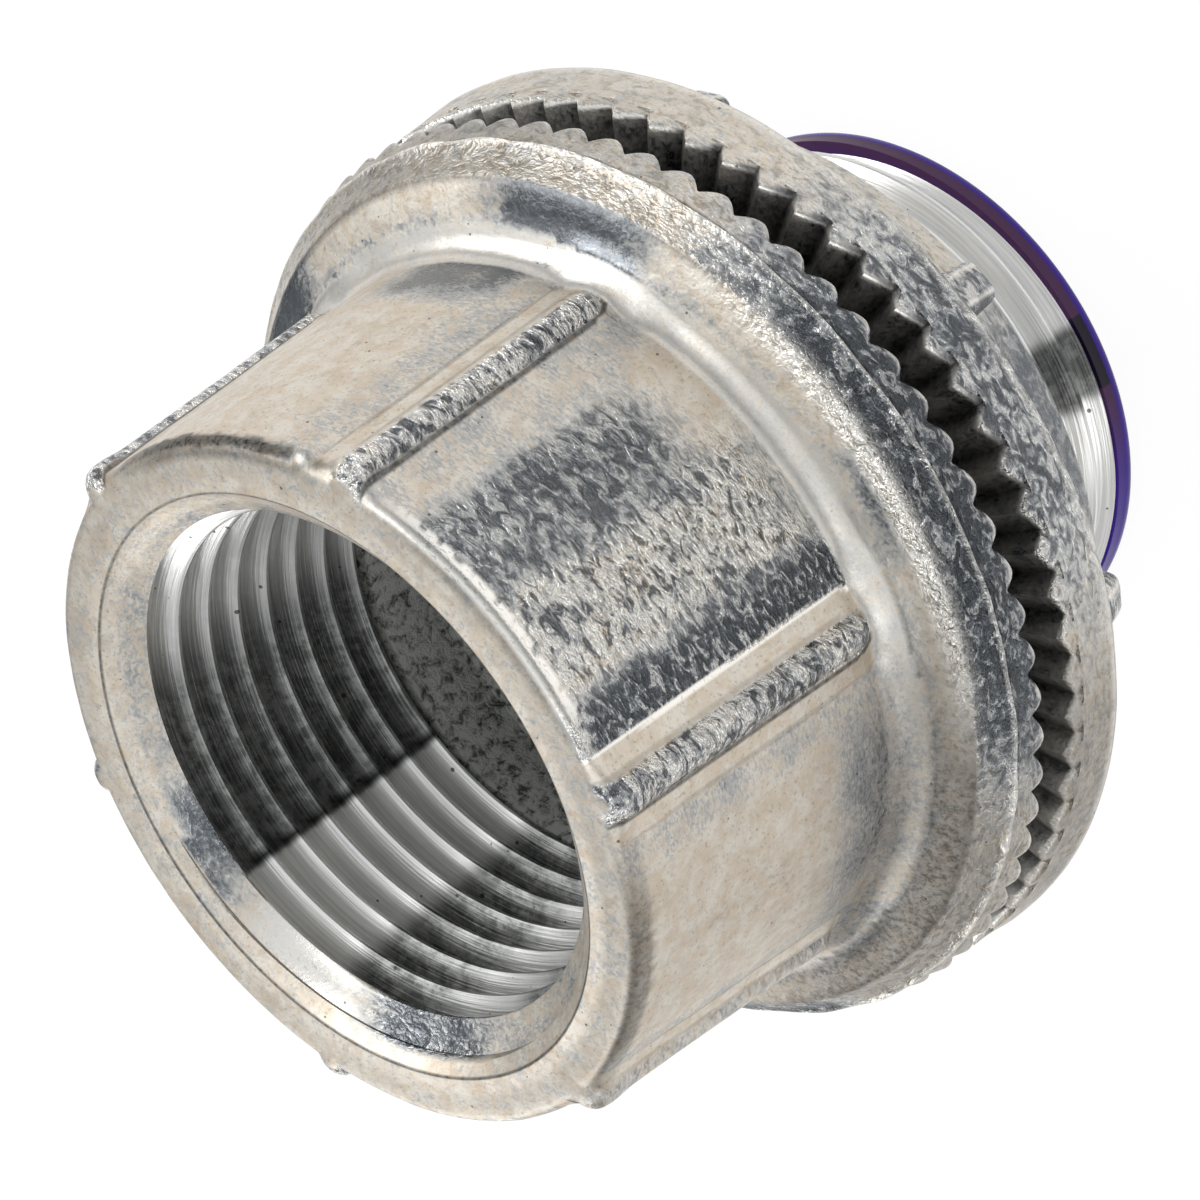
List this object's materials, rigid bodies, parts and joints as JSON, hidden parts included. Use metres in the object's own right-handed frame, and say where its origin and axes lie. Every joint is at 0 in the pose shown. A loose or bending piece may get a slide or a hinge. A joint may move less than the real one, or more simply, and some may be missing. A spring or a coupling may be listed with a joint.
{
  "type": "conduit hub",
  "caption": "Rigid conduit hub: threaded socket with wrench ribs, toothed flange with a recessed sealing ring, threaded stub with an insulated throat, and a toothed locknut.",
  "frame": {"origin": "centre of the free face of the throat's lip, on which the hub stands", "axes": "+Z along the hub's axis, out of the conduit socket; +X through one of the six ribs; the frame is the resting pose on the lip"},
  "size_m": [0.0558, 0.0558, 0.049],
  "materials": {
    "zinc_casting": "die-cast zinc, tumbled",
    "zinc_locknut": "die-cast zinc, darker in the teeth",
    "black_rubber": "moulded",
    "violet_plastic": "translucent moulded"
  },
  "bodies": {
    "hub": {"hub_body": "zinc_casting", "sealing_ring": "black_rubber", "throat_insulator": "violet_plastic"},
    "locknut": {"locknut": "zinc_locknut"}
  },
  "joints": [
    {"name": "locknut_travel", "type": "slide", "parent": "hub", "child": "locknut", "axis": [0, 0, 1], "range_m": [-0.00884, 0.0016]}
  ]
}
